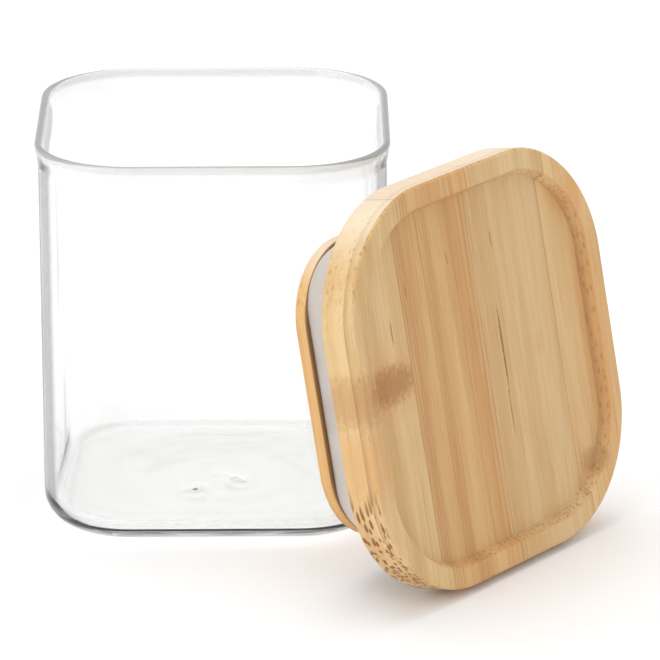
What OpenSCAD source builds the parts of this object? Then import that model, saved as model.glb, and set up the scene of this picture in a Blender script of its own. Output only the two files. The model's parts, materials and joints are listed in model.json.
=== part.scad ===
// Square glass spice jar and its bamboo lid with a silicone seal, in millimetres.
// The jar stands open. The lid is off: it stands on one edge beside the jar and leans on the jar's corner.
// The origin is the centre of the jar's base. +Z is up and -Y is the side that faces the viewer.

/* [Jar] */
// Width of the glass body over its flat sides
body_w = 66; // [58:1:90]
// Radius of the body's upright corners
body_corner_r = 17; // [12:0.5:22]
// Height of the jar
jar_h = 75.5; // [60:0.5:120]
// Thickness of the glass wall
glass_wall = 1.7; // [1.3:0.1:2.4]
// Thickness of the glass floor
glass_floor = 2.6; // [1.8:0.1:4]
// Outer radius where the walls turn into the floor
bottom_r = 6; // [4:0.5:8]

/* [Rim] */
// How far the rim stands out from the body on each side
rim_flare = 0.65; // [0.2:0.05:1.2]
// Height over which the wall opens out into the rim
flare_h = 5; // [4:0.5:8]
// Thickness of the rim's rounded lip
lip_t = 1.5; // [1.2:0.1:2]

/* [Lid cap] */
// How far the cap stands out past the rim on each side
cap_overhang = 4.5; // [2:0.5:8]
// Radius of the cap's corners
cap_corner_r = 24.5; // [21:0.5:28]
// Thickness of the cap
cap_t = 7.8; // [6:0.1:12]
// Radius of the cap's rounded edges
cap_edge_r = 0.8; // [0.4:0.1:1.5]
// Width of the raised border round the recess
border_w = 4; // [3:0.5:7]
// Depth of the recess in the cap's outer face
recess_d = 2.4; // [1:0.1:4]
// How far the recess's side runs inward on its way down
recess_slope = 1.2; // [0.6:0.1:2]

/* [Staves] */
// Width of one full bamboo strip
stave_w = 22.2; // [18:0.1:25]
// Place of the first glue line left of the cap's centre
first_joint = 20.5; // [16:0.5:24]

/* [Plug] */
// Depth of the plug below the cap, with its flange
plug_depth = 14.1; // [10:0.1:20]
// Thickness of the flange that holds the seal on
flange_t = 2.8; // [2:0.1:4]
// Gap between the flange and the inside of the jar's wall
flange_clearance = 2.8; // [1:0.1:4]
// Radius of the flange's rounded edges
flange_edge_r = 0.5; // [0.2:0.1:0.9]
// Depth of the groove behind the flange that the seal sits in
groove_d = 3.2; // [2:0.1:5]

/* [Seal] */
// How much larger than the jar's inside the seal's lip is, on each side
seal_squeeze = 0.4; // [0.1:0.1:0.8]
// How far the seal's foot stays inside the flange's edge
seal_foot_inset = 1; // [0.3:0.1:1.8]
// Depth of the lip's rounded edge below the cap
seal_lip_depth = 3.8; // [3:0.1:5]
// Radius of the lip's rounded edge
seal_lip_r = 0.7; // [0.4:0.1:1]
// Height of the collar between the cap and the lip
seal_collar_h = 1.6; // [0.8:0.1:2.2]
// How far the collar stays inside the lip's edge
seal_collar_inset = 3; // [2:0.1:4]

/* [Leaning lid] */
// Direction that the lid's outer face looks, round from the right-hand side
lid_turn = -38.5; // [-60:0.5:-30]
// Angle by which the lid leans back from upright
lid_lean = 11.25; // [5:0.25:15]
// Gap between the flange and the jar where the lid leans
lean_gap = 0.3; // [0.1:0.1:1]

/* [Hidden] */
$fn = 96;

// Cutters reach this far past what they cut
over = 1;

// The jar: every profile below is drawn outward from the centre line of a corner's arc
jar_corner_c = body_w / 2 - body_corner_r;
jar_out = body_corner_r;
jar_in = jar_out - glass_wall;
inner_bottom_r = bottom_r - glass_wall;
lip_r = lip_t / 2;
lip_x = jar_out + rim_flare - lip_r;

// Number of short straight pieces that the flare's curve is made of
flare_steps = 8;

// The lid, in its own frame: the centre of the cap's back face is its origin, and +Z is its outer side
cap_half = body_w / 2 + rim_flare + cap_overhang;
lid_corner_c = cap_half - cap_corner_r;
recess_x = cap_corner_r - border_w;
flange_half = body_w / 2 - glass_wall - flange_clearance;
flange_x = flange_half - lid_corner_c;
groove_x = flange_x - groove_d;
groove_h = plug_depth - flange_t;
plug_joint = stave_w / 2;

// The seal's outside follows the jar's mouth, so it shares the jar's corner centres
seal_lip_x = jar_in + seal_squeeze;
seal_foot_x = flange_half - seal_foot_inset - jar_corner_c;
seal_collar_x = seal_lip_x - seal_collar_inset;

// Where the leaning lid stands: its lower back edge is on the table and its flange is beside the jar
jar_reach = jar_corner_c * (abs(cos(lid_turn)) + abs(sin(lid_turn))) + body_corner_r;
lid_out = jar_reach + lean_gap + flange_edge_r
    + (flange_half - flange_edge_r) * sin(lid_lean)
    + (plug_depth - flange_edge_r) * cos(lid_lean);
lid_up = cap_edge_r + (cap_half - cap_edge_r) * cos(lid_lean) - cap_edge_r * sin(lid_lean);

glass_color = [0.86, 0.92, 0.91, 0.45];
seal_color = [0.88, 0.86, 0.84];
pale_bamboo = [0.84, 0.71, 0.50];
warm_bamboo = [0.82, 0.64, 0.42];

// Sweeps a profile round a square whose corner arcs are centred at (c, c), and fills the square between
// those centres from fill_low to fill_high. The profile starts at x = 0, on the corner's centre line.
module rounded_square(c, fill_low, fill_high) {
    for (quarter = [0:3])
        rotate([0, 0, 90 * quarter]) {
            translate([c, c, 0]) rotate_extrude(angle = 90) children();
            translate([c, c, 0]) rotate([90, 0, 0]) linear_extrude(height = 2 * c) children();
        }
    translate([-c, -c, fill_low]) cube([2 * c, 2 * c, fill_high - fill_low]);
}

// A rectangle from x = 0 to x = reach whose two outer corners have a radius
module edge_rounded(reach, low, high, r) {
    translate([0, low]) square([reach - r, high - low]);
    translate([0, low + r]) square([reach, high - low - 2 * r]);
    for (z = [low + r, high - r]) translate([reach - r, z]) circle(r = r);
}

// A rectangle from x = 0 to x = reach whose lower outer corner has a radius
module bottom_rounded(reach, low, high, r) {
    translate([0, low]) square([reach - r, high - low]);
    translate([0, low + r]) square([reach, high - low - r]);
    translate([reach - r, low + r]) circle(r = r);
}

// Smooth step from 0 to 1 along the flare
function ease(t) = (1 - cos(180 * t)) / 2;

// One side of the flare, from the wall at x0 to the lip at x1
function flare_side(x0, x1) = [
    for (i = [0:flare_steps])
        let (t = i / flare_steps)
            [x0 + (x1 - x0) * ease(t), jar_h - flare_h + t * (flare_h - lip_r)]
];

// Cross section of the jar's wall, from the floor up to the lip
module jar_profile() {
    difference() {
        bottom_rounded(jar_out, 0, jar_h - flare_h, bottom_r);
        bottom_rounded(jar_in, glass_floor, jar_h, inner_bottom_r);
    }
    outer = flare_side(jar_out, lip_x + lip_r);
    inner = flare_side(jar_in, lip_x - lip_r);
    polygon(concat(outer, [for (i = [flare_steps:-1:0]) inner[i]]));
    translate([lip_x, jar_h - lip_r]) circle(r = lip_r);
}

module glass_jar() {
    color(glass_color) rounded_square(jar_corner_c, 0, glass_floor) jar_profile();
}

// Cross section of the cap, with the recess in its outer face
module cap_profile() {
    difference() {
        edge_rounded(cap_corner_r, 0, cap_t, cap_edge_r);
        polygon([
            [-over, cap_t - recess_d],
            [recess_x - recess_slope, cap_t - recess_d],
            [recess_x, cap_t],
            [recess_x, cap_t + over],
            [-over, cap_t + over],
        ]);
    }
}

// Cross section of the plug: the neck that the seal sits round, and the flange under it
module plug_profile() {
    translate([0, -plug_depth + flange_edge_r]) square([groove_x, plug_depth - flange_edge_r]);
    edge_rounded(flange_x, -plug_depth, -groove_h, flange_edge_r);
}

// Cross section of the seal's outside: a collar under the cap, a soft lip, and a slope down to the flange
module seal_profile() {
    polygon([
        [0, 0],
        [seal_collar_x, 0],
        [seal_collar_x, -seal_collar_h],
        [seal_lip_x - seal_lip_r, -seal_lip_depth + seal_lip_r],
        [seal_lip_x, -seal_lip_depth],
        [seal_foot_x, -groove_h],
        [0, -groove_h],
    ]);
    translate([seal_lip_x - seal_lip_r, -seal_lip_depth]) circle(r = seal_lip_r);
}

// Keeps the part of a board that lies between two glue lines
module between(left, right) {
    intersection() {
        children();
        translate([left, -cap_half - over, -plug_depth - over])
            cube([right - left, 2 * (cap_half + over), plug_depth + cap_t + 2 * over]);
    }
}

// Stands the lid on its edge, turned to its direction and leaning back on the jar
module leaning() {
    translate([lid_out * cos(lid_turn), lid_out * sin(lid_turn), lid_up])
        rotate([0, 0, lid_turn + 90])
            rotate([90 - lid_lean, 0, 0])
                children();
}

module cap_board() {
    rounded_square(lid_corner_c, 0, cap_t - recess_d) cap_profile();
}

module plug_board() {
    rounded_square(lid_corner_c, -plug_depth, 0) plug_profile();
}

module cap_stave_left() {
    color(pale_bamboo) leaning() between(-cap_half - over, -first_joint) cap_board();
}

module cap_stave_mid_left() {
    color(warm_bamboo) leaning() between(-first_joint, stave_w - first_joint) cap_board();
}

module cap_stave_mid_right() {
    color(pale_bamboo) leaning()
        between(stave_w - first_joint, 2 * stave_w - first_joint) cap_board();
}

module cap_stave_right() {
    color(warm_bamboo) leaning() between(2 * stave_w - first_joint, cap_half + over) cap_board();
}

module plug_stave_left() {
    color(warm_bamboo) leaning() between(-cap_half, -plug_joint) plug_board();
}

module plug_stave_middle() {
    color(pale_bamboo) leaning() between(-plug_joint, plug_joint) plug_board();
}

module plug_stave_right() {
    color(warm_bamboo) leaning() between(plug_joint, cap_half) plug_board();
}

module silicone_seal() {
    color(seal_color) leaning() difference() {
        rounded_square(jar_corner_c, -groove_h, 0) seal_profile();
        rounded_square(lid_corner_c, -plug_depth, over)
            translate([0, -plug_depth]) square([groove_x, plug_depth + over]);
    }
}

glass_jar();
silicone_seal();
cap_stave_left();
cap_stave_mid_left();
cap_stave_mid_right();
cap_stave_right();
plug_stave_left();
plug_stave_middle();
plug_stave_right();
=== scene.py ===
"""Square glass spice jar with its bamboo lid leaning on it: materials, lights and camera."""
import json
import math

import bpy
from mathutils import Matrix, Vector


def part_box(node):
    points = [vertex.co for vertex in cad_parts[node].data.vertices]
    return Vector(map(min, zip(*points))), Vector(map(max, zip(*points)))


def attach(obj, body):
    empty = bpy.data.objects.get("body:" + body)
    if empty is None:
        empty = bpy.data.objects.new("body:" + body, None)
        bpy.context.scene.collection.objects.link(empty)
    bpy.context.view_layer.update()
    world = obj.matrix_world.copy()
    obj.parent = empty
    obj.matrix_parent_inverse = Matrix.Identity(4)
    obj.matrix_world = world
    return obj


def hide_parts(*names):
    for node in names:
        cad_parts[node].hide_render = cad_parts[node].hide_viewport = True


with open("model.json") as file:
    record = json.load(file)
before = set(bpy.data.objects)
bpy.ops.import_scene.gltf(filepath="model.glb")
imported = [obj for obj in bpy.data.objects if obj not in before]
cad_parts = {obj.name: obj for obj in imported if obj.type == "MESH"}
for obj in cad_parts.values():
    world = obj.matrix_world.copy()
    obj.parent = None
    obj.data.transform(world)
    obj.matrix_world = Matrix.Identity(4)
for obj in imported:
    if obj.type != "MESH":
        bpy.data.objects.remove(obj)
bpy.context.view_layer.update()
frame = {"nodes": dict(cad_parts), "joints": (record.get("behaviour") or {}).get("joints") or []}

MM = 0.001

# Jar sizes in millimetres. Half the rim's width and the height come from the frame
RIM_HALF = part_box("glass_jar")[1][0] / MM
JAR_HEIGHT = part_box("glass_jar")[1][2] / MM
RIM_FLARE = 0.65
FLARE_HEIGHT = 5
BODY_HALF = RIM_HALF - RIM_FLARE
BODY_CORNER = 17
RIM_CORNER = 18.4
WALL = 1.7
LIP = 1.5
FLOOR = 2.6
BOTTOM_RADIUS = 6
INNER_RADIUS = BOTTOM_RADIUS - WALL
PUNT = 0.5

# The floor's upper face: how far it rises, its waves along X and Y, and rings round a point off the middle
FLOOR_RISE = 0.25
WAVE = 0.10
WAVE_PACE = (0.21, 0.17)
WAVE_START = (1.1, 0.4)
SWIRL = 0.06
SWIRL_PACE = 0.75
SWIRL_CENTRE = (2, -3)
# Small pips on it: x, y, rise and spread
PIPS = ((-3.9, -9, 0.85, 1.1), (3.6, -3.5, 0.6, 0.9))

# Mesh steps round the jar and along its profile
ARC_STEPS = 18
SIDE_STEPS = 12
ROUNDING_STEPS = 10
WALL_STEPS = 14
FLOOR_STEPS = 18
SETTLE_STEPS = 3


def ease(t):
    """Smooth step from 0 to 1."""
    t = min(max(t, 0), 1)
    return t * t * (3 - 2 * t)


def blend(a, b, t):
    """The value a share t of the way from a to b."""
    return a + (b - a) * t


def srgb(red, green, blue):
    """A colour as it looks on the screen, 0 to 255, turned into the linear values that a shader takes."""
    def linear(value):
        value /= 255
        return value / 12.92 if value <= 0.04045 else ((value + 0.055) / 1.055) ** 2.4
    return (linear(red), linear(green), linear(blue), 1)


# Shape of the glass jar

def ring(half, corner, height):
    """Points of a rounded square, anticlockwise, at one height."""
    middle = half - corner
    points = []
    for quarter in range(4):
        turn = Matrix.Rotation(quarter * math.pi / 2, 3, "Z")
        for step in range(ARC_STEPS + 1):
            angle = step / ARC_STEPS * math.pi / 2
            at = Vector((middle + corner * math.cos(angle), middle + corner * math.sin(angle), height))
            points.append(turn @ at)
        for step in range(1, SIDE_STEPS):
            along = middle - 2 * middle * step / SIDE_STEPS
            points.append(turn @ Vector((along, half, height)))
    return points


def flare(height):
    """How far the flare has gone at a height: 0 on the body and 1 at the rim."""
    return ease((height - (JAR_HEIGHT - FLARE_HEIGHT)) / FLARE_HEIGHT)


def wall_ring(height, depth):
    """The outline of the wall at a height, moved in from the outer surface by depth."""
    half = blend(BODY_HALF, RIM_HALF, flare(height)) - depth
    corner = blend(BODY_CORNER, RIM_CORNER, flare(height)) - depth
    return ring(half, corner, height)


def bottom_rings(depth, radius, level, first, last):
    """Rings round a rounded bottom edge that starts at a level, between two angles in degrees."""
    rings = []
    for step in range(ROUNDING_STEPS + 1):
        angle = math.radians(blend(first, last, step / ROUNDING_STEPS))
        drop = radius * (1 - math.cos(angle))
        lift = radius * (1 - math.sin(angle))
        rings.append(ring(BODY_HALF - depth - drop, BODY_CORNER - depth - drop, level + lift))
    return rings


def lip_rings():
    """Rings over the fire-polished lip, from outside to inside."""
    bead = LIP / 2
    rings = []
    for step in range(ROUNDING_STEPS + 1):
        angle = math.pi * step / ROUNDING_STEPS
        depth = bead - bead * math.cos(angle)
        height = JAR_HEIGHT - bead + bead * math.sin(angle)
        rings.append(ring(RIM_HALF - depth, RIM_CORNER - depth, height))
    return rings


def floor_height(x, y):
    """The floor's upper face: slightly raised and wavy, with faint rings and small pips."""
    along_x = x * WAVE_PACE[0] + WAVE_START[0]
    along_y = y * WAVE_PACE[1] + WAVE_START[1]
    wave = WAVE * math.sin(along_x) * math.cos(along_y)
    swirl = SWIRL * math.sin(math.hypot(x - SWIRL_CENTRE[0], y - SWIRL_CENTRE[1]) * SWIRL_PACE)
    pips = 0
    for pip_x, pip_y, rise, spread in PIPS:
        pips += rise * math.exp(-((x - pip_x) ** 2 + (y - pip_y) ** 2) / (2 * spread ** 2))
    return FLOOR + FLOOR_RISE + wave + swirl + pips


def floor_rings(inner_half, inner_corner):
    """Rings of the floor's upper face from its edge towards the middle."""
    rings = []
    for step in range(1, FLOOR_STEPS):
        share = 1 - step / FLOOR_STEPS
        points = ring(inner_half * share, inner_corner * share, FLOOR)
        settle = ease(step / SETTLE_STEPS)
        for point in points:
            point.z = blend(FLOOR, floor_height(point.x, point.y), settle)
        rings.append(points)
    return rings


def underside_rings(flat_half, flat_corner):
    """Rings of the slightly hollow underside, from near the middle out to the flat that it stands on."""
    rings = []
    for step in range(1, FLOOR_STEPS):
        share = step / FLOOR_STEPS
        rings.append(ring(flat_half * share, flat_corner * share, PUNT * (1 - share ** 2)))
    return rings


def wall_heights():
    """Heights of the wall's rings, between the rounded bottom and the lip and closer in the flare."""
    top = JAR_HEIGHT - LIP / 2
    flare_from = JAR_HEIGHT - FLARE_HEIGHT
    body = [blend(BOTTOM_RADIUS, flare_from, step / WALL_STEPS) for step in range(1, WALL_STEPS + 1)]
    return body + [blend(flare_from, top, step / WALL_STEPS) for step in range(1, WALL_STEPS)]


def outer_rings():
    """Rings from the underside's middle up the outside to below the lip."""
    rings = underside_rings(BODY_HALF - BOTTOM_RADIUS, BODY_CORNER - BOTTOM_RADIUS)
    rings += bottom_rings(0, BOTTOM_RADIUS, 0, 90, 0)
    return rings + [wall_ring(height, 0) for height in wall_heights()]


def inner_rings():
    """Rings over the lip and down the inside to the floor's middle."""
    rings = lip_rings()
    for height in reversed(wall_heights()):
        if height > FLOOR + INNER_RADIUS:
            rings.append(wall_ring(height, blend(WALL, LIP, flare(height))))
    rings += bottom_rings(WALL, INNER_RADIUS, FLOOR, 0, 90)
    return rings + floor_rings(BODY_HALF - WALL - INNER_RADIUS, BODY_CORNER - WALL - INNER_RADIUS)


def loft(name, rings, first, last):
    """A closed mesh through the rings, with a point that closes each end."""
    count = len(rings[0])
    points = [point * MM for points in rings for point in points]
    faces = []
    for row in range(len(rings) - 1):
        for step in range(count):
            after = (step + 1) % count
            faces.append((row * count + step, row * count + after,
                          (row + 1) * count + after, (row + 1) * count + step))
    for end, row in ((first, 0), (last, len(rings) - 1)):
        tip = len(points)
        points.append(end * MM)
        for step in range(count):
            edge = (row * count + step, row * count + (step + 1) % count)
            faces.append((edge[1], edge[0], tip) if row == 0 else (edge[0], edge[1], tip))
    mesh = bpy.data.meshes.new(name)
    mesh.from_pydata(points, [], faces)
    mesh.polygons.foreach_set("use_smooth", [True] * len(mesh.polygons))
    mesh.update()
    piece = bpy.data.objects.new(name, mesh)
    bpy.context.scene.collection.objects.link(piece)
    return piece


def mark_outside(piece, outer_points):
    """Marks the points of the outer surface, below the lip, for the glass material."""
    values = [float(index < outer_points) for index in range(len(piece.data.vertices))]
    marks = piece.data.attributes.new("outside", "FLOAT", "POINT")
    marks.data.foreach_set("value", values)


def make_jar(material):
    """The clear jar that stands for the frame's jar. It casts no shadow, since clear glass lets light by."""
    outer = outer_rings()
    floor_middle = Vector((0, 0, floor_height(0, 0)))
    jar = loft("glass_jar_clear", outer + inner_rings(), Vector((0, 0, PUNT)), floor_middle)
    mark_outside(jar, len(outer) * len(outer[0]))
    jar.data.materials.append(material)
    jar.visible_shadow = False
    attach(jar, "jar")
    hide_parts("glass_jar")


# The lid's own directions, so that grain and marks follow its strips

CAP_STAVES = ["cap_stave_left", "cap_stave_mid_left", "cap_stave_mid_right", "cap_stave_right"]
PLUG_STAVES = ["plug_stave_left", "plug_stave_middle", "plug_stave_right"]
RECESS_DEPTH = 2.4
# A strip touches the glue joints that lie within its width, give or take this much
JOINT_SLACK = 1


def lid_frame():
    """The lid's place: X across the strips, Y up along them, Z outward, origin behind the cap's centre."""
    outward = Vector(frame["joints"][0]["axis"]).normalized()
    along = (Vector((0, 0, 1)) - outward * outward.z).normalized()
    across = along.cross(outward)
    turned = Matrix((across, along, outward)).transposed()
    points = [turned.transposed() @ v.co for name in CAP_STAVES for v in frame["nodes"][name].data.vertices]
    low = [min(point[axis] for point in points) for axis in range(3)]
    high = [max(point[axis] for point in points) for axis in range(3)]
    origin = turned @ Vector(((low[0] + high[0]) / 2, (low[1] + high[1]) / 2, low[2]))
    return Matrix.Translation(origin) @ turned.to_4x4()


LID = lid_frame()
CAP_THICKNESS = max((LID.inverted() @ v.co).z for v in frame["nodes"]["cap_stave_left"].data.vertices) / MM
RECESS_FLOOR = CAP_THICKNESS - RECESS_DEPTH


def lid_span(name):
    """Lowest and highest place across the strips of one node, in millimetres."""
    across = [(LID.inverted() @ v.co).x / MM for v in frame["nodes"][name].data.vertices]
    return min(across), max(across)


# Materials

class Shader:
    """The nodes of one material. Each call adds nodes and returns what they put out."""

    def __init__(self, name):
        self.material = bpy.data.materials.new(name)
        self.material.use_nodes = True
        self.tree = self.material.node_tree
        self.tree.nodes.clear()

    def node(self, kind, inputs=(), **settings):
        """Adds a node. An input is either another node's output or a value."""
        node = self.tree.nodes.new(kind)
        for key, value in settings.items():
            setattr(node, key, value)
        for key, value in dict(inputs).items():
            if isinstance(value, bpy.types.NodeSocket):
                self.tree.links.new(value, node.inputs[key])
            else:
                node.inputs[key].default_value = value
        return node

    def math(self, operation, a, b=0.0):
        return self.node("ShaderNodeMath", {0: a, 1: b}, operation=operation).outputs[0]

    def product(self, first, *others):
        for other in others:
            first = self.math("MULTIPLY", first, other)
        return first

    def distance(self, value, middle):
        return self.math("ABSOLUTE", self.math("SUBTRACT", value, middle))

    def vector_math(self, operation, a, b):
        return self.node("ShaderNodeVectorMath", {0: a, 1: b}, operation=operation).outputs

    def times(self, vector, factors):
        return self.vector_math("MULTIPLY", vector, factors)[0]

    def plus(self, vector, offset):
        return self.vector_math("ADD", vector, offset)[0]

    def dot(self, vector, direction):
        return self.vector_math("DOT_PRODUCT", vector, direction)["Value"]

    def parts(self, vector):
        """The X, Y and Z parts of a vector."""
        return list(self.node("ShaderNodeSeparateXYZ", {0: vector}).outputs)

    def step(self, value, low, high, start=0.0, end=1.0):
        """start below low, end above high, and a smooth change between them."""
        return self.node("ShaderNodeMapRange", {"Value": value, "From Min": low, "From Max": high,
                                                "To Min": start, "To Max": end},
                         interpolation_type="SMOOTHSTEP").outputs[0]

    def below(self, value, low, high, amount=1.0):
        """The amount where the value is below low, and none above high."""
        return self.step(value, low, high, amount, 0.0)

    def mix(self, share, a, b):
        return self.node("ShaderNodeMix", {0: share, 6: a, 7: b}, data_type="RGBA").outputs[2]

    def noise(self, vector, detail=3.0, roughness=0.55):
        return self.node("ShaderNodeTexNoise", {"Vector": vector, "Scale": 1.0, "Detail": detail,
                                                "Roughness": roughness}).outputs[0]

    def cells(self, vector):
        """Distance to the nearest of many scattered points."""
        return self.node("ShaderNodeTexVoronoi", {"Vector": vector, "Scale": 1.0}).outputs["Distance"]

    def bump(self, height, strength, distance):
        return self.node("ShaderNodeBump", {"Height": height, "Strength": strength,
                                            "Distance": distance}).outputs[0]

    def finish(self, inputs, volume=None):
        """Ends the material with a principled surface that has these inputs, and a volume if there is one."""
        surface = self.node("ShaderNodeBsdfPrincipled", inputs).outputs[0]
        output = self.node("ShaderNodeOutputMaterial", {"Surface": surface})
        if volume:
            self.tree.links.new(volume, output.inputs["Volume"])
        return self.material


WHITE = (1, 1, 1, 1)

# Tints of the glass, with a painted shade grey for the band inside its upright edges, and how clear it is on
# the body and at its haziest
EDGE_SHADE_GREY = srgb(134, 135, 133)
HEEL_GREY = srgb(226, 228, 225)
FLOOR_GREY = srgb(242, 243, 240)
LIP_GREY = srgb(238, 239, 237)
VOLUME_TINT = (0.25, 0.30, 0.28, 1)
VOLUME_DENSITY = 16.0
CLEAR = 0.995
HAZY = 0.70


def glass_colour(s, height, level, outside, lip):
    """White, with a band of painted shade inside each upright edge and grey tints at the floor, its curve and
    the lip.
    """
    grazing = s.node("ShaderNodeLayerWeight", {"Blend": 0.5}).outputs["Facing"]
    on_wall = s.product(s.below(level, 0.15, 0.45), s.below(height, JAR_HEIGHT - 3, JAR_HEIGHT - 1.5))
    # Painted shade: the upright walls turn grey near their edges, where they are seen at a grazing angle.
    painted_edge_shade = s.product(s.step(grazing, 0.48, 0.60), s.step(grazing, 0.74, 0.82, 1.0, 0.2))
    low = s.product(s.below(height, FLOOR + 0.2, FLOOR + 0.8), s.below(outside, 0.4, 0.6))
    heel = s.product(low, s.step(level, 0.999, 0.97))
    colour = s.mix(s.product(on_wall, painted_edge_shade, outside), WHITE, EDGE_SHADE_GREY)
    colour = s.mix(low, colour, FLOOR_GREY)
    colour = s.mix(heel, colour, HEEL_GREY)
    return s.mix(lip, colour, LIP_GREY)


def glass_haze(s, height, level, outside, lip):
    """How hazy the glass is, from 0 to 1: most at the lip and foot, and half as much in the flare."""
    flared = s.product(s.step(height, JAR_HEIGHT - 6, JAR_HEIGHT - 3), 0.5)
    foot = s.product(s.below(height, 1, 3), outside, s.step(level, 0.995, 0.9))
    return s.math("MAXIMUM", s.math("MAXIMUM", lip, flared), foot)


def clear_glass():
    """Thin blown glass: clear and not quite even, greyer where more of it is looked through, with painted
    shade near its upright edges.
    """
    s = Shader("clear_glass")
    coordinates = s.node("ShaderNodeTexCoord")
    place = coordinates.outputs["Object"]
    height = s.math("DIVIDE", s.parts(place)[2], MM)
    level = s.math("ABSOLUTE", s.parts(coordinates.outputs["Normal"])[2])
    outside = s.node("ShaderNodeAttribute", attribute_name="outside").outputs["Fac"]
    lip = s.step(height, JAR_HEIGHT - 2.2, JAR_HEIGHT - 1.2)
    hazy = glass_haze(s, height, level, outside, lip)
    ripple = s.noise(s.times(place, (70, 70, 22)), detail=1.0)
    smear = s.noise(s.times(place, (40, 40, 40)))
    tint = s.node("ShaderNodeVolumeAbsorption", {"Color": VOLUME_TINT, "Density": VOLUME_DENSITY})
    return s.finish({
        "Base Color": glass_colour(s, height, level, outside, lip),
        "Roughness": s.step(smear, 0.3, 0.8, 0.0, 0.01), "IOR": 1.45,
        "Transmission Weight": s.step(hazy, 0.0, 1.0, CLEAR, HAZY),
        "Normal": s.bump(ripple, 0.12, 0.6 * MM)}, tint.outputs[0])


SILICONE_DARK = srgb(188, 180, 173)
SILICONE_PALE = srgb(201, 193, 187)


def silicone():
    """Milky translucent silicone with a faint cloudiness."""
    s = Shader("silicone")
    place = s.node("ShaderNodeTexCoord").outputs["Object"]
    cloud = s.noise(s.times(place, (120, 120, 120)), detail=4.0)
    grit = s.noise(s.times(place, (900, 900, 900)), detail=2.0)
    return s.finish({
        "Base Color": s.mix(s.step(cloud, 0.3, 0.75), SILICONE_DARK, SILICONE_PALE),
        "Roughness": s.step(cloud, 0.3, 0.8, 0.32, 0.45), "IOR": 1.41,
        "Subsurface Weight": 0.5, "Subsurface Scale": 2 * MM,
        "Normal": s.bump(grit, 0.12, 0.1 * MM)})


# Bamboo colours
# Dark fibres, also used for the painted shade at the foot of the recess wall
FIBRE_AND_SHADE_BROWN = srgb(142, 92, 48)
LIGHT_FIBRE = srgb(244, 219, 176)
GLUE = srgb(150, 108, 66)
# Painted highlight colour for the strips' top ends
TOP_HIGHLIGHT_PALE = srgb(236, 226, 208)
SKIN_BROWN = srgb(138, 88, 46)
SHADED_BROWN = srgb(116, 76, 42)
# Painted shade on the recess floor
RECESS_SHADE_TAN = srgb(170, 128, 84)
NODE_BROWN = srgb(146, 92, 44)
ORANGE = srgb(214, 152, 88)
LINE_BROWN = srgb(176, 126, 76)
SEAM_BROWN = srgb(180, 122, 68)
CRACK = srgb(120, 78, 40)


def band(s, colour, u, v, centre, width, tint, strength):
    """A darker run of fibres along the whole strip, its edges a little ragged."""
    stretched = s.node("ShaderNodeCombineXYZ", {0: s.product(u, 0.8), 1: s.product(v, 0.03)}).outputs[0]
    ragged = s.product(s.math("SUBTRACT", s.noise(stretched, detail=4.0), 0.5), width * 1.6)
    away = s.distance(s.math("ADD", u, ragged), centre)
    return s.mix(s.below(away, width * 0.15, width * 0.6, strength), colour, tint)


def patch(s, colour, at, u, v, centre, size, tint, strength):
    """A soft-edged mark of a set size, broken up along the fibres."""
    broken = s.noise(s.times(at, (1.5, 0.8, 1.5)), detail=6.0, roughness=0.75)
    across = s.math("DIVIDE", s.math("SUBTRACT", u, centre[0]), size[0])
    along = s.math("DIVIDE", s.math("SUBTRACT", v, centre[1]), size[1])
    reach = s.math("ADD", s.product(across, across), s.product(along, along))
    reach = s.math("ADD", reach, s.product(s.math("SUBTRACT", broken, 0.5), 3))
    return s.mix(s.below(reach, 0.1, 1.5, strength), colour, tint)


def fibre_colour(s, moved, fibres, hair, pale, deep):
    """The wood between a pale and a deep colour, from broad drifts down to hair lines."""
    broad = s.noise(s.times(moved, (0.16, 0.008, 0.16)))
    light_hair = s.noise(s.times(moved, (3.1, 0.05, 3.1)), detail=4.0)
    colour = s.mix(s.step(broad, 0.32, 0.68), pale, deep)
    colour = s.mix(s.step(fibres, 0.45, 0.78, 0.0, 0.55), colour, deep)
    colour = s.mix(s.step(hair, 0.50, 0.80, 0.0, 0.42), colour, FIBRE_AND_SHADE_BROWN)
    return s.mix(s.step(light_hair, 0.55, 0.8, 0.0, 0.45), colour, LIGHT_FIBRE)


def bundle_dots(s, moved):
    """Fibre bundles, which run the strip's length and are cut to dots at its ends."""
    bundles = s.cells(s.times(moved, (0.95, 0.05, 0.95)))
    crowd = s.step(s.noise(s.times(moved, (0.10, 0.02, 0.16)), detail=2.0), 0.38, 0.62)
    return s.product(s.below(bundles, 0.16, 0.34), crowd, 0.9)


def dense_skin(s, colour, moved, u, v, on_side, skin):
    """The crowded fibres near the bamboo's skin, on the side of the strip and in one corner of it."""
    crowded = s.below(s.cells(s.times(moved, (1.3, 0.17, 1.1))), 0.30, 0.50)
    corner = s.product(s.below(v, *skin["v"]), s.below(u, *skin["u"]))
    return s.mix(s.product(crowded, corner, on_side, 0.95), colour, SKIN_BROWN)


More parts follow.
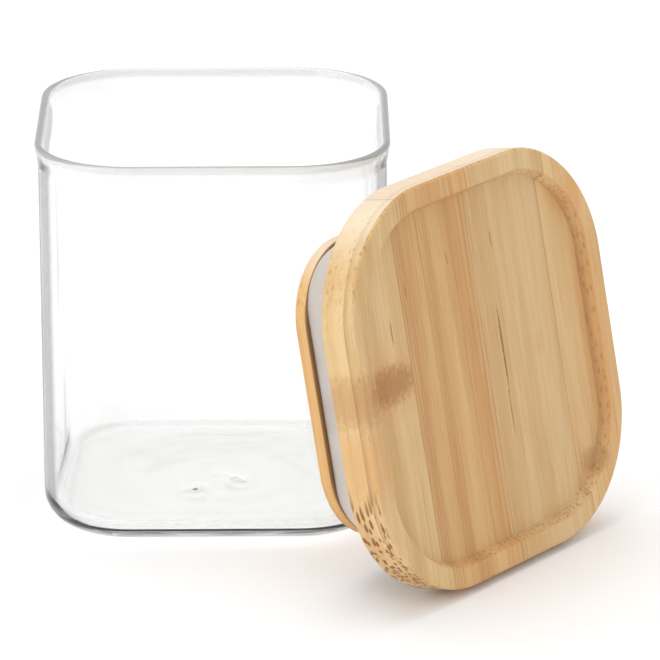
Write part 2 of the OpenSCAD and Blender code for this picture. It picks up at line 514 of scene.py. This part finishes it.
def recess(s, colour, moved, n, facing, end_grain):
    """The cap's recess: pits on its sloping wall, painted shade at the wall's foot, and painted shade that
    makes its floor slightly darker.
    """
    slope = s.product(s.step(n, RECESS_FLOOR + 0.1, RECESS_FLOOR + 0.3),
                      s.below(n, CAP_THICKNESS - 0.4, CAP_THICKNESS - 0.1), s.step(facing, 0.2, 0.35))
    pits = s.below(s.cells(s.times(moved, (1.4, 0.5, 1.4))), 0.2, 0.5, 0.32)
    # Painted shade at the foot of the recess wall, weaker on end grain.
    foot = s.product(s.below(n, RECESS_FLOOR + 0.1, CAP_THICKNESS - 0.5, 0.42),
                     s.step(n, RECESS_FLOOR + 0.02, RECESS_FLOOR + 0.1))
    colour = s.mix(s.product(slope, pits), colour, FIBRE_AND_SHADE_BROWN)
    colour = s.mix(s.product(foot, s.step(end_grain, 0.3, 0.9, 1.0, 0.4)), colour, FIBRE_AND_SHADE_BROWN)
    # Painted shade: the recess floor is made a little darker.
    return s.mix(s.below(s.distance(n, RECESS_FLOOR), 0.01, 0.06, 0.10), colour, RECESS_SHADE_TAN)


def bamboo(name, pale, deep, shift, joints, bands=(), patches=(), skin=None, in_cap=True):
    """One bamboo strip: straight fibres, bundles that show as dots in the end grain, its own marks, a painted
    highlight on its top end, and painted shade in the cap's recess and on the inner face of the plug's
    flange.

    Places are in millimetres on the lid: u across the strips, v along them and n outward.
    """
    s = Shader(name)
    coordinates = s.node("ShaderNodeTexCoord")
    at = s.node("ShaderNodeMapping", {
        "Vector": coordinates.outputs["Object"], "Location": LID.to_translation(),
        "Rotation": LID.to_euler("XYZ"), "Scale": (MM, MM, MM)}, vector_type="TEXTURE").outputs[0]
    u, v, n = s.parts(at)
    moved = s.plus(at, (shift, shift * 3, shift * 7))
    end_side = s.dot(coordinates.outputs["Normal"], LID.to_3x3().col[1])
    facing = s.dot(coordinates.outputs["Normal"], LID.to_3x3().col[2])
    end_grain = s.math("ABSOLUTE", end_side)
    on_side = s.below(facing, 0.2, 0.35)

    fibres = s.noise(s.times(moved, (1.7, 0.022, 1.7)), detail=6.0, roughness=0.65)
    hair = s.noise(s.times(moved, (6.5, 0.10, 6.5)), detail=4.0, roughness=0.6)
    colour = fibre_colour(s, moved, fibres, hair, pale, deep)
    for centre, width, tint, strength in bands:
        colour = band(s, colour, u, v, centre, width, tint, strength)
    for centre, size, tint, strength in patches:
        colour = patch(s, colour, at, u, v, centre, size, tint, strength)

    dots = bundle_dots(s, moved)
    colour = s.mix(s.product(dots, s.step(end_grain, 0.12, 0.75, 0.18, 0.6)), colour, FIBRE_AND_SHADE_BROWN)
    if skin:
        colour = dense_skin(s, colour, moved, u, v, on_side, skin)
    # Painted highlight: the upward-facing end of the strip is made paler, as if lit from above.
    painted_top_highlight = s.product(s.step(end_side, 0.5, 0.95, 0.0, 0.6), on_side)
    colour = s.mix(painted_top_highlight, colour, TOP_HIGHLIGHT_PALE)
    if in_cap:
        colour = recess(s, colour, moved, n, facing, end_grain)
    else:
        colour = s.mix(s.step(facing, 0.2, 0.7, 0.0, 0.8), colour, SHADED_BROWN)
    for joint in joints:
        colour = s.mix(s.below(s.distance(u, joint), 0.04, 0.20, 0.5), colour, GLUE)

    grain = s.math("ADD", s.product(fibres, 0.6), s.product(hair, 0.4))
    relief = s.math("SUBTRACT", grain, s.product(dots, 0.4))
    return s.finish({
        "Base Color": colour, "Roughness": s.step(fibres, 0.3, 0.8, 0.42, 0.62), "IOR": 1.48,
        "Specular IOR Level": 0.35, "Normal": s.bump(relief, 0.35, 0.25 * MM)})


# Each strip's colours and marks. A band is (centre u, width, tint, strength). A patch is
# ((u, v), (half width, half length), tint, strength). The skin is full below the first v and u that it
# names, and gone above the second.
STRIPS = {
    "cap_stave_left": dict(
        pale=srgb(226, 194, 142), deep=srgb(207, 168, 114), shift=3,
        skin={"v": (-19, -11), "u": (-20, -10)},
        patches=[((-27.5, 3.8), (8, 3.8), NODE_BROWN, 0.8), ((-37, 3.4), (5, 5), NODE_BROWN, 0.36),
                 ((-38, -9), (6, 7), ORANGE, 0.35),
                 ((-28, 3.8), (12, 7), ORANGE, 0.3), ((-24.6, 13), (0.25, 2.6), CRACK, 0.6)]),
    "cap_stave_mid_left": dict(
        pale=srgb(219, 179, 122), deep=srgb(203, 152, 96), shift=11,
        bands=[(centre, 0.5, LINE_BROWN, 0.38)
               for centre in (-19.6, -18.7, -17.9, -12.9, -12.1, -11.2, -10.5, -3.9, -0.9)]
        + [(-1.4, 3.6, ORANGE, 0.18), (0.5, 0.9, SEAM_BROWN, 0.45)],
        patches=[((-18.9, 19.6), (0.22, 1.6), CRACK, 0.5), ((-5.6, 22.2), (0.22, 1.5), CRACK, 0.5)]),
    "cap_stave_mid_right": dict(
        pale=srgb(221, 190, 142), deep=srgb(208, 168, 114), shift=19,
        patches=[((6.9, 2), (0.28, 8.5), CRACK, 0.85), ((6.6, -10), (0.2, 5), CRACK, 0.6),
                 ((8.1, 22.7), (0.22, 1.6), CRACK, 0.5), ((18, 0), (1.8, 2.6), ORANGE, 0.3)]),
    "cap_stave_right": dict(
        pale=srgb(226, 192, 140), deep=srgb(212, 168, 112), shift=29,
        patches=[((28, -26), (3.2, 2.4), NODE_BROWN, 0.35), ((31.5, 25.5), (4, 4.5), ORANGE, 0.35),
                 ((33.6, -2), (2.6, 26), ORANGE, 0.4)]),
    "plug_stave_left": dict(pale=srgb(226, 182, 122), deep=srgb(205, 152, 92), shift=37, in_cap=False),
    "plug_stave_middle": dict(pale=srgb(234, 196, 140), deep=srgb(214, 166, 108), shift=43, in_cap=False),
    "plug_stave_right": dict(pale=srgb(228, 184, 124), deep=srgb(206, 154, 94), shift=53, in_cap=False),
}


def cover(node, material):
    """Gives a node of the frame its material."""
    for slot in node.material_slots:
        slot.material = material


def dress_nodes():
    """Gives each bamboo strip and the seal its material. Strips are darker along the joints they touch."""
    for row in (CAP_STAVES, PLUG_STAVES):
        spans = [lid_span(name) for name in row]
        joints = [high for low, high in spans[:-1]]
        for name, (low, high) in zip(row, spans):
            near = [joint for joint in joints if low - JOINT_SLACK < joint < high + JOINT_SLACK]
            cover(frame["nodes"][name], bamboo(name + "_bamboo", joints=near, **STRIPS[name]))
    cover(frame["nodes"]["silicone_seal"], silicone())


# Floor, light and camera, in metres

def make_floor():
    """A wide pale floor."""
    reach = 3.0
    corners = [(-reach, -reach, 0), (reach, -reach, 0), (reach, reach, 0), (-reach, reach, 0)]
    mesh = bpy.data.meshes.new("floor")
    mesh.from_pydata(corners, [], [(0, 1, 2, 3)])
    s = Shader("floor_white")
    place = s.node("ShaderNodeTexCoord").outputs["Object"]
    tone = s.mix(s.noise(s.times(place, (6, 6, 6))), (0.93, 0.93, 0.93, 1), (0.95, 0.95, 0.95, 1))
    mesh.materials.append(s.finish({"Base Color": tone, "Roughness": 0.9, "Specular IOR Level": 0.1}))
    floor = bpy.data.objects.new("floor", mesh)
    bpy.context.scene.collection.objects.link(floor)


def make_world(lighting):
    """White behind the set and seen in the glass, with a separate strength for the light that it gives."""
    world = bpy.data.worlds.new("studio")
    bpy.context.scene.world = world
    world.use_nodes = True
    tree = world.node_tree
    tree.nodes.clear()
    path = tree.nodes.new("ShaderNodeLightPath")
    seen = path.outputs["Is Camera Ray"]
    for kind in ("Is Glossy Ray", "Is Transmission Ray"):
        either = tree.nodes.new("ShaderNodeMath")
        either.operation = "MAXIMUM"
        tree.links.new(seen, either.inputs[0])
        tree.links.new(path.outputs[kind], either.inputs[1])
        seen = either.outputs[0]
    strength = tree.nodes.new("ShaderNodeMapRange")
    tree.links.new(seen, strength.inputs["Value"])
    strength.inputs["To Min"].default_value = lighting
    strength.inputs["To Max"].default_value = 1.0
    background = tree.nodes.new("ShaderNodeBackground")
    background.inputs["Color"].default_value = WHITE
    tree.links.new(strength.outputs[0], background.inputs["Strength"])
    output = tree.nodes.new("ShaderNodeOutputWorld")
    tree.links.new(background.outputs[0], output.inputs["Surface"])


def make_lamp(name, place, aim, size, power):
    """A square soft light that looks at a point."""
    light = bpy.data.lights.new(name, "AREA")
    light.shape = "SQUARE"
    light.size = size
    light.energy = power
    lamp = bpy.data.objects.new(name, light)
    lamp.location = place
    lamp.rotation_euler = (Vector(aim) - Vector(place)).to_track_quat("-Z", "Y").to_euler()
    bpy.context.scene.collection.objects.link(lamp)


def make_camera():
    """The photograph's view, measured from the jar's rim and base and from the lid's corners."""
    target = Vector((22.1876, 0, 31.9905)) * MM
    azimuth = math.radians(-0.368)
    elevation = math.radians(18.968)
    roll = math.radians(-0.1756)
    distance = 1035.06 * MM
    back = Vector((math.sin(azimuth) * math.cos(elevation), -math.cos(azimuth) * math.cos(elevation),
                   math.sin(elevation)))
    right = (-back).cross(Vector((0, 0, 1))).normalized()
    up = right.cross(-back)
    rolled_right = right * math.cos(roll) + up * math.sin(roll)
    rolled_up = up * math.cos(roll) - right * math.sin(roll)
    turned = Matrix((rolled_right, rolled_up, back)).transposed()
    lens = bpy.data.cameras.new("camera")
    lens.sensor_width = 36
    lens.lens = 290.87
    lens.clip_end = 20
    camera = bpy.data.objects.new("camera", lens)
    camera.matrix_world = Matrix.Translation(target + back * distance) @ turned.to_4x4()
    bpy.context.scene.collection.objects.link(camera)
    bpy.context.scene.camera = camera


make_jar(clear_glass())
dress_nodes()
make_floor()
make_world(lighting=0.88)
make_lamp("overhead", place=(-0.15, 0.25, 1.1), aim=(0.02, 0, 0.04), size=0.9, power=4.4)
make_lamp("left_fill", place=(-1.0, -0.9, 0.5), aim=(0.03, 0, 0.04), size=0.8, power=4.2)
make_camera()
bpy.context.scene.view_settings.view_transform = "Standard"
